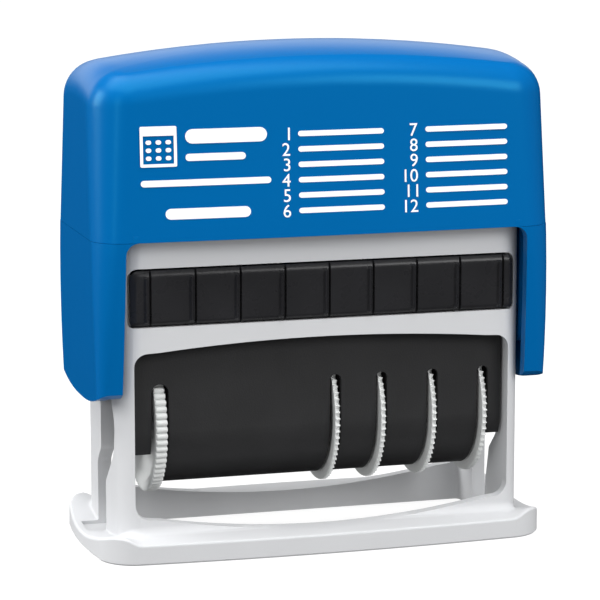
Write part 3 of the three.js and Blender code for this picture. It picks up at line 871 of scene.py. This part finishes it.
def cassette_face():
    """The ribbed front: a relief over a grid, closed at the back, trimmed to its outline."""
    low, high = CASSETTE_LOW, CASSETTE_HIGH
    first = -RIB_PITCH * (RIB_COUNT - 1) / 2
    fine = np.concatenate([np.linspace(-0.5, 0.95, 30), (-1.4, 1.6)])
    places = [first + i * RIB_PITCH + offset for i in range(RIB_COUNT) for offset in fine]
    places += list(np.linspace(low[0], high[0], 40))
    x = np.unique(np.round([p for p in places if low[0] <= p <= high[0]], 4))
    near_top = high[2] - FACE_EDGE * (1 - np.cos(np.linspace(0, math.pi / 2, 9)))
    near_bottom = low[2] + FACE_EDGE * (1 - np.cos(np.linspace(0, math.pi / 2, 7)))
    between = np.linspace(low[2] + 1, high[2] - 1, 8)
    z = np.unique(np.round(np.concatenate([near_bottom, between, near_top]), 4))
    grid_x, grid_z = np.meshgrid(x, z)
    from_edge = np.minimum(high[2] - grid_z, (grid_z - low[2]) * 1.6)
    step = np.clip(1 - from_edge / FACE_EDGE, 0, 1)
    rim = 0.25 + PANEL_DEPTH * 1.2 * step**2 / (0.4 + step)
    from_end = np.minimum(high[0] - grid_x, grid_x - low[0])
    side = 0.9 * np.clip(1 - from_end / FACE_END_RUN, 0, 1) ** 2
    relief = np.maximum(grip_relief(grid_x), np.where(step > 0, rim + 0.22, 0))
    depth = np.maximum(relief, side)
    front = np.stack([grid_x, low[1] + depth, grid_z], axis=-1).reshape(-1, 3)
    back = front.copy()
    back[:, 1] = low[1] + FACE_THICKNESS
    rows, columns = grid_x.shape
    count = rows * columns
    faces = []
    for r in range(rows - 1):
        for c in range(columns - 1):
            a = r * columns + c
            quad = (a, a + 1, a + columns + 1, a + columns)
            faces.append(quad)
            faces.append(tuple(count + i for i in reversed(quad)))
    edge_loop = (
        list(range(columns))
        + [r * columns + columns - 1 for r in range(1, rows)]
        + [(rows - 1) * columns + c for c in range(columns - 2, -1, -1)]
        + [r * columns for r in range(rows - 2, 0, -1)]
    )
    for i, a in enumerate(edge_loop):
        b = edge_loop[(i + 1) % len(edge_loop)]
        faces.append((a, b, count + b, count + a))
    face = solid(np.concatenate([front, back]), faces)
    outline = panel_outline(low[0], high[0], low[2], high[2], *FACE_CORNERS)
    return combine(face, "INTERSECT", prism(outline, "XZ", low[1] - 1, low[1] + 4))


def cassette():
    """The ribbed front and the open tray behind it that holds the pad."""
    low, high = CASSETTE_LOW, CASSETTE_HIGH
    face = cassette_face()
    piece(face, "cassette_front", "frame", ["pad_cassette"], "black_plastic", smooth=30)
    tray = block(
        (-TRAY_HALF_LENGTH, TRAY_HALF_LENGTH),
        (low[1] + FACE_THICKNESS - 0.1, high[1]),
        (low[2], high[2] - 0.5),
    )
    cut(tray, prism(box_outline(POCKET_HALF_LENGTH, POCKET_HALF_DEPTH, 0.8), "XY", low[2] - 1, 40))
    tidy(tray)
    round_edges(tray, 0.2, 2)
    piece(tray, "cassette_tray", "frame", ["pad_cassette"], "black_plastic")


def ink_pad():
    """A foam block whose face swells a little between its edges."""
    play, corner, crown_height = 0.1, 1.2, 0.25
    face_round, back_round, side_tuck = 0.5, 0.4, 0.12
    rings = []
    plan, normals = boat(PAD_HIGH[0] - play, PAD_HIGH[1] - play, 0.0, corner, 0.0, 40, 6, 14)
    middle = (PAD_LOW[2] + PAD_HIGH[2]) / 2
    for share in (0.03, 0.35, 0.65, 0.85, 0.95):
        flat = (plan - face_round * normals) * share
        rings.append(placed(flat, "XY", PAD_LOW[2] + crown_height * share**6))
    for k in range(4):
        angle = math.pi / 2 * k / 3
        flat = plan - normals * (face_round * (1 - math.sin(angle)))
        z = PAD_LOW[2] + crown_height + face_round * (1 - math.cos(angle))
        rings.append(placed(flat, "XY", z))
    rings.append(placed(plan - side_tuck * normals, "XY", middle))
    for k in range(3):
        angle = math.pi / 2 * k / 2
        flat = plan - normals * (back_round * (1 - math.cos(angle)))
        z = PAD_HIGH[2] - back_round * (1 - math.sin(angle))
        rings.append(placed(flat, "XY", z))
    pad = loft(rings)
    piece(pad, "ink_foam", "frame", ["ink_pad"], "ink_felt", smooth=50)


# ------ return spring
def return_spring():
    """A wound coil with closed, flat-lying end turns."""
    turns, wire_sides, steps_per_turn = 7.0, 10, 40
    wire = 0.35
    radius = SPRING_HIGH[0] - wire
    low, high = SPRING_LOW[2] + wire, SPRING_HIGH[2] - wire
    count = int(turns * steps_per_turn)
    share = np.linspace(0, 1, count + 1)
    dead = 1.0 / turns
    closed_pitch = 2 * wire * 1.02
    climb = np.clip((share - dead) / (1 - 2 * dead), 0, 1)
    end_turns = np.clip(share / dead, 0, 1) + np.clip((share - 1 + dead) / dead, 0, 1)
    z = low + closed_pitch * end_turns + (high - low - 2 * closed_pitch) * climb
    angle = 2 * math.pi * turns * share
    path = np.stack([radius * np.cos(angle), radius * np.sin(angle), z], axis=1)
    tangent = np.gradient(path, axis=0)
    tangent /= np.linalg.norm(tangent, axis=1)[:, None]
    outward = np.stack([np.cos(angle), np.sin(angle), np.zeros_like(angle)], axis=1)
    across = np.cross(tangent, outward)
    around = np.linspace(0, 2 * math.pi, wire_sides, endpoint=False)
    rings = []
    for p, o, a in zip(path, outward, across):
        rings.append(np.array([p + wire * (math.cos(t) * o + math.sin(t) * a) for t in around]))
    coil = loft(rings)
    piece(coil, "return_coil", "frame", ["return_spring"], "spring_steel", smooth=60)
    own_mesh(coil)


# ------ carriage
def set_spans(name):
    """Where a set's rim and band lie along X."""
    wheel_low, wheel_high = node_box(name + "_wheel")
    band_low, band_high = node_box(name + "_band")
    if wheel_low[0] < band_low[0] - 0.5:
        rim = (wheel_low[0], band_low[0] - 0.25)
    else:
        rim = (band_high[0] + 0.25, wheel_high[0])
    return rim, (band_low[0], band_high[0])


COVER_WALL = 0.8
COVER_END_BOTTOM = 14.5
SLOT_MARGIN = 0.45
WORD_RIM_SETBACK = 0.4
COVER_SLOT_TOP = 24.7
COVER_END_LIP = 0.2


def cover_outline(radius, top):
    """A half round about the wheels with straight sides up to its top, as (y, z)."""
    points = [(radius, top), (-radius, top)]
    for angle in np.linspace(math.pi, 2 * math.pi, 61):
        points.append((radius * math.cos(angle), WHEEL_Z + radius * math.sin(angle)))
    return np.array(points)


def wheel_cover():
    """The cover round the wheels, with a slot per wheel and shortened ends."""
    half, top = COVER_HIGH[0], COVER_HIGH[2]
    cover = prism(cover_outline(COVER_RADIUS, top), "YZ", -half, half)
    inner = prism(cover_outline(COVER_RADIUS - COVER_WALL, top + 1), "YZ", -half - 1, half + 1)
    cut(cover, inner)
    reach = COVER_RADIUS + 1

    def opening(left, right, height, radius=0.0):
        outline = panel_outline(left, right, 0, height, 0, radius, 10)
        return prism(outline, "XZ", -reach, reach)

    cutters = []
    for name in SETS:
        (start, end), _ = set_spans(name)
        x0, x1 = start - SLOT_MARGIN, end + SLOT_MARGIN
        if name == "word":
            x0 += WORD_RIM_SETBACK
        cutters.append(opening(x0, x1, COVER_SLOT_TOP, (x1 - x0) / 2 - 0.01))
        if name == "word":
            cutters.append(opening(-half - 2, x0 + COVER_END_LIP, COVER_END_BOTTOM))
        if name == "year":
            cutters.append(opening(x1 - COVER_END_LIP, half + 2, COVER_END_BOTTOM))
    for cutter in cutters:
        cut(cover, cutter)
    tidy(cover, 0.3)
    round_edges(cover, 0.14, 2, 40)
    piece(cover, "band_cover", "carriage", ["wheel_cover"], "matte_black_plastic", smooth=40)


DRUM_RADIUS = 6.8
WHEEL_BORE = 1.5
WHEEL_CHAMFER = 0.12
HUB_EDGE = 0.15
DRUM_EDGE = 0.1


def thumb_wheel(name):
    """A toothed rim with a dished face, on the drum that drives its band."""
    rim, band = set_spans(name)
    _, wheel_high = node_box(name + "_wheel")
    tip = wheel_high[1]
    thick = name == "word"
    if thick:
        teeth, steps, depth, sharpness = 66, 10, 0.45, 2.5
        dish, edge_notch, tooth_run = 0.5, 0.1, 0.02
    else:
        teeth, steps, depth, sharpness = 68, 8, 0.42, 1.0
        dish, edge_notch, tooth_run = 0.25, 0.32, 0.45
    turn = np.linspace(0, 2 * math.pi, teeth * steps, endpoint=False)
    phase = (turn * teeth / (2 * math.pi)) % 1
    wave = np.abs(2 * phase - 1) ** sharpness
    on_right = band[0] > rim[0]
    face, back = (rim[0], rim[1]) if on_right else (rim[1], rim[0])
    way = 1 if on_right else -1
    if thick:
        face += way * WORD_RIM_SETBACK
    far = band[1] if on_right else band[0]
    stations = [  # (x, radius, 1 where the ring has teeth)
        (face + way * dish, WHEEL_BORE, 0),
        (face + way * dish, tip - 2.4, 0),
        (face + way * dish * 0.5, tip - 1.9, 0),
        (face + way * 0.08, tip - 1.65, 0),
        (face, tip - 1.5, 0),
        (face, tip - depth - 0.25, 0),
        (face, tip - WHEEL_CHAMFER, 1),
        (face + way * WHEEL_CHAMFER, tip, 1),
        ((face + back) / 2, tip, 1),
        (back - way * WHEEL_CHAMFER, tip, 1),
        (back, tip - WHEEL_CHAMFER, 1),
        (back, tip - depth - 0.3, 0),
        (back, DRUM_RADIUS + HUB_EDGE, 0),
        (back + way * HUB_EDGE, DRUM_RADIUS, 0),
        (far - way * DRUM_EDGE, DRUM_RADIUS, 0),
        (far, DRUM_RADIUS - DRUM_EDGE, 0),
        (far, WHEEL_BORE, 0),
    ]
    rings = []
    for x, radius, toothed in stations:
        share = toothed * min(1, max(0, (x - rim[0]) / tooth_run))
        at_right_edge = x > rim[1] - 1.1 * WHEEL_CHAMFER
        r = radius - depth * share * wave
        along = x - edge_notch * toothed * at_right_edge * wave
        rings.append(np.stack([along, r * np.cos(turn), WHEEL_Z + r * np.sin(turn)], axis=1))
    wheel = loft(rings, closed=True)
    body = name + "_wheel"
    piece(wheel, name + "_thumb_wheel", body, [body], "white_plastic", smooth=30)


BAND_CLEARANCE = 0.25
BAND_THICKNESS = 0.9
BAND_RELIEF = 0.5
BAND_HALF_WIDTH = 5.3
BAND_CORNER = 1.8
BAND_EDGE = 0.1
CHARACTER_HEIGHT = 4.0
CHARACTER_SINK = 0.05
CHARACTER_MARGIN = 0.5
WORD_BAR_MARGIN = 2.5
WORD_BAR_HEIGHT = 2.6


def belt_path(drum, top, half_width, corner, corner_steps=8, drum_steps=48):
    """The belt's section as (y, z): hull of the drum and the bridge's two rounded edges."""
    corner_y, corner_z = half_width - corner, top - corner
    dy, dz = corner_y, corner_z - WHEEL_Z
    tilt = math.atan2(dz, dy) - math.acos((drum - corner) / math.hypot(dy, dz))
    points = []

    def arc(centre, radius, first, last, steps):
        for angle in np.linspace(first, last, steps + 1):
            along, up = math.cos(angle), math.sin(angle)
            points.append((centre[0] + radius * along, centre[1] + radius * up))

    arc((corner_y, corner_z), corner, tilt, math.pi / 2, corner_steps)
    arc((-corner_y, corner_z), corner, math.pi / 2, math.pi - tilt, corner_steps)
    arc((0, WHEEL_Z), drum, math.pi - tilt, 2 * math.pi + tilt, drum_steps)
    return np.array(points)


CAP_HEIGHT_SHARE = 0.7


def glyph(text, height):
    """Outline vertices and faces of digits in Blender's own font, centred, flat on z 0 to 1."""
    curve = bpy.data.curves.new("glyph", "FONT")
    curve.body = text
    curve.align_x = "CENTER"
    curve.align_y = "CENTER"
    curve.size = height / CAP_HEIGHT_SHARE
    curve.resolution_u = 4
    curve.extrude = 0.5
    holder = bpy.data.objects.new("glyph", curve)
    bpy.context.scene.collection.objects.link(holder)
    depsgraph = bpy.context.evaluated_depsgraph_get()
    mesh = bpy.data.meshes.new_from_object(holder.evaluated_get(depsgraph), depsgraph=depsgraph)
    vertices = np.array([v.co for v in mesh.vertices], float)
    faces = [tuple(p.vertices) for p in mesh.polygons]
    bpy.data.objects.remove(holder)
    low, high = vertices.min(0), vertices.max(0)
    vertices[:, :2] -= (low[:2] + high[:2]) / 2
    vertices[:, 2] += 0.5
    return vertices, faces


def bar(length, height, steps=12):
    """A plain bar with rounded ends, centred, flat on z 0 to 1."""
    half = height / 2
    end = length / 2 - half
    outline = []
    for side in (1, -1):
        for angle in np.linspace(-math.pi / 2, math.pi / 2, 9):
            outline.append((side * (end + half * math.cos(angle)), side * half * math.sin(angle)))
        for x in np.linspace(end, -end, steps)[1:-1]:
            outline.append((side * x, side * half))
    flat = np.array(outline)
    count = len(flat)
    vertices = np.concatenate(
        [np.column_stack([flat, np.zeros(count)]), np.column_stack([flat, np.ones(count)])]
    )
    faces = [(k, (k + 1) % count, count + (k + 1) % count, count + k) for k in range(count)]
    middle = count // 2
    for level in (0, count):
        for k in range(middle - 1):
            near, far = level + k, level + count - 1 - k
            faces.append((near, near + 1, far - 1, far))
    return vertices, faces


def print_band(name, text):
    """A rubber belt around the drum and the bridge, with raised mirrored characters."""
    _, (start, end) = set_spans(name)
    _, band_high = node_box(name + "_band")
    top = band_high[2]
    drum = DRUM_RADIUS + BAND_CLEARANCE
    base = BAND_THICKNESS - BAND_RELIEF
    outer = belt_path(
        drum + base, top - BAND_RELIEF, BAND_HALF_WIDTH - BAND_RELIEF, BAND_CORNER - BAND_RELIEF
    )
    inner = belt_path(
        drum, top - BAND_THICKNESS, BAND_HALF_WIDTH - BAND_THICKNESS, BAND_CORNER - BAND_THICKNESS
    )
    edge = outer + (inner - outer) * BAND_EDGE / base
    rings = [
        placed(inner, "YZ", start),
        placed(edge, "YZ", start),
        placed(outer, "YZ", start + BAND_EDGE),
        placed(outer, "YZ", end - BAND_EDGE),
        placed(edge, "YZ", end),
        placed(inner, "YZ", end),
    ]
    belt = loft(rings, closed=True)
    piece(belt, name + "_belt", "carriage", [name + "_band"], "band_rubber", smooth=30)
    middle = (start + end) / 2
    width = end - start
    if text:
        shape, faces = glyph(text, CHARACTER_HEIGHT)
        shape[:, 0] *= min(1, (width - CHARACTER_MARGIN) / np.ptp(shape[:, 0]))
    else:
        shape, faces = bar(width - WORD_BAR_MARGIN, WORD_BAR_HEIGHT)
    foot = top - BAND_RELIEF - CHARACTER_SINK
    z = foot + (BAND_RELIEF + CHARACTER_SINK) * shape[:, 2]
    raised = solid(np.column_stack([middle + shape[:, 0], -shape[:, 1], z]), faces)
    piece(raised, name + "_characters", "carriage", [name + "_band"], "band_rubber", smooth=30)


PLATE_EDGE = 0.15


def carriage():
    """The cover, the wheels, the bands, and a finish for the frame's own plates and axle."""
    wheel_cover()
    for name in SETS:
        thumb_wheel(name)
    for name, text in zip(SETS, ("", "1", "7", "06", "30")):
        print_band(name, text)
    plain_nodes = {
        "left_end_plate": "matte_black_plastic",
        "right_end_plate": "matte_black_plastic",
        "band_bridge": "matte_black_plastic",
        "wheel_axle": "axle_steel",
    }
    for node, slot in plain_nodes.items():
        obj = frame["nodes"][node]
        obj.data.materials.clear()
        obj.data.materials.append(MATERIALS[slot])
        bevel = obj.modifiers.new("bevel", "BEVEL")
        bevel.width = PLATE_EDGE * MM
        bevel.segments = 2
        bevel.limit_method = "ANGLE"
        bevel.angle_limit = math.radians(35)


# ------ print on the hood's front
INK_THICKNESS = 0.05
ROWS = 6
ROW_PITCH = 2.155
ROW_HEIGHT = 1.8
FIRST_ROW_Z = 60.4
BAR_HEIGHT = 0.75
# end of the numbers, start of the bars, length of the bars
INDEX_COLUMNS = ((-5.9, -4.7, 12.6), (12.9, 14.1, 12.4))
TITLE_LEFT = -27.3
TITLE_BARS = (  # indent, length, thickness, height above the paper
    (6.4, 11.7, 2.0, 60.5),
    (6.4, 8.6, 1.0, 57.6),
    (0.0, 18.6, 0.9, 54.1),
    (3.4, 12.2, 1.5, 49.8),
)
CALENDAR_HALF = 2.6
CALENDAR_LINE = 0.42
CALENDAR_Z = 59.2


def on_front(shape, x, z):
    """Lays a flat shape on the hood's front."""
    px, pz = x + shape[:, 0], z + shape[:, 1]
    y = hood_front(px, pz) + 0.02 - INK_THICKNESS * shape[:, 2]
    return np.column_stack([px, y, pz])


def gather(parts, name):
    """Joins flat shapes into one printed piece."""
    vertices, faces, offset = [], [], 0
    for points, part_faces in parts:
        vertices.append(points)
        faces += [tuple(i + offset for i in f) for f in part_faces]
        offset += len(points)
    marks = solid(np.concatenate(vertices), faces)
    piece(marks, name, "cap", [], "white_plastic", smooth=30, material="white_print")


def hood_print():
    """A numbered index in two columns, with plain bars where words would stand."""
    parts = []
    for column, (number_end, bar_start, bar_length) in enumerate(INDEX_COLUMNS):
        for row in range(ROWS):
            z = FIRST_ROW_Z - row * ROW_PITCH
            number = str(column * ROWS + row + 1)
            shape, faces = glyph(number, ROW_HEIGHT)
            parts.append((on_front(shape, number_end - np.ptp(shape[:, 0]) / 2, z), faces))
            shape, faces = bar(bar_length, BAR_HEIGHT)
            parts.append((on_front(shape, bar_start + bar_length / 2, z), faces))
    gather(parts, "index_print")

    parts = []
    for indent, length, thick, z in TITLE_BARS:
        shape, faces = bar(length, thick)
        parts.append((on_front(shape, TITLE_LEFT + indent + length / 2, z), faces))
    parts += calendar(TITLE_LEFT + CALENDAR_HALF, CALENDAR_Z)
    gather(parts, "title_print")


def calendar(x, z):
    """A plain calendar page: a frame, a heading and nine day squares."""
    half, line = CALENDAR_HALF, CALENDAR_LINE
    parts = []
    sides = (
        (2 * half, line, 0, half),
        (2 * half, line, 0, -half),
        (2 * half, 1.0, 0, half - 0.6),
    )
    for length, thick, dx, dz in sides:
        shape, faces = bar(length, thick)
        parts.append((on_front(shape, x + dx, z + dz), faces))
    for dx in (-half + line / 2, half - line / 2):
        shape, faces = bar(2 * half, line)
        upright = np.column_stack([-shape[:, 1], shape[:, 0], shape[:, 2]])
        parts.append((on_front(upright, x + dx, z), faces))
    day_width, day_height, pitch_x, pitch_z, first_z = 0.8, 0.6, 1.4, 1.1, 0.6
    for row in range(3):
        for column in range(3):
            shape, faces = bar(day_width, day_height)
            dx, dz = (column - 1) * pitch_x, first_z - row * pitch_z
            parts.append((on_front(shape, x + dx, z + dz), faces))
    return parts


# ------ studio
def studio():
    """White floor and backdrop, softboxes round the stamp, and the camera."""
    bpy.ops.mesh.primitive_plane_add(size=8.0, location=(0, 2.0, 0))
    floor = bpy.context.object
    floor.name = "floor"
    paper = bpy.data.materials.new("floor_paper")
    paper.use_nodes = True
    shader = paper.node_tree.nodes["Principled BSDF"]
    shader.inputs["Base Color"].default_value = (0.15, 0.15, 0.15, 1)
    shader.inputs["Roughness"].default_value = 0.9
    shader.inputs["Specular IOR Level"].default_value = 0.0
    shader.inputs["Emission Color"].default_value = (1, 1, 1, 1)
    shader.inputs["Emission Strength"].default_value = 0.9
    floor.data.materials.append(paper)
    floor.visible_diffuse = False
    floor.visible_glossy = False

    world = bpy.data.worlds.new("studio")
    bpy.context.scene.world = world
    world.use_nodes = True
    background = world.node_tree.nodes["Background"]
    background.inputs["Color"].default_value = (1, 1, 1, 1)
    background.inputs["Strength"].default_value = 0.5
    world.cycles_visibility.glossy = False

    def softbox(name, place, target, size, power):
        light = bpy.data.lights.new(name, "AREA")
        light.shape = "RECTANGLE"
        light.size, light.size_y = size
        light.energy = power
        lamp = bpy.data.objects.new(name, light)
        lamp.location = place
        lamp.rotation_euler = (Vector(target) - Vector(place)).to_track_quat("-Z", "Y").to_euler()
        bpy.context.scene.collection.objects.link(lamp)

    centre = (0, 0, 0.04)
    softbox("top_softbox", (-0.15, -0.1, 0.8), centre, (1.0, 0.7), 9.6)
    softbox("back_softbox", (0.0, 1.3, 0.42), centre, (2.0, 0.45), 3.0)
    softbox("left_softbox", (-0.85, 0.2, 0.35), centre, (0.4, 0.5), 5.6)
    softbox("strip_light", (-0.55, -0.65, 0.3), centre, (0.06, 0.5), 1.0)
    softbox("front_softbox", (0.5, -0.8, 0.5), centre, (0.5, 0.4), 5.2)

    camera_data = bpy.data.cameras.new("camera")
    camera_data.lens = 175.0
    camera_data.sensor_width = 36.0
    camera_data.clip_start = 0.01
    camera = bpy.data.objects.new("camera", camera_data)
    camera.location = (-0.11744, -0.40364, 0.10876)
    camera.rotation_euler = (math.radians(79.936), 0, math.radians(-16.177))
    bpy.context.scene.collection.objects.link(camera)
    bpy.context.scene.camera = camera
    bpy.context.scene.view_settings.view_transform = "Standard"


hood()
stirrup()
stamp_frame()
cassette()
ink_pad()
return_spring()
carriage()
hood_print()
studio()
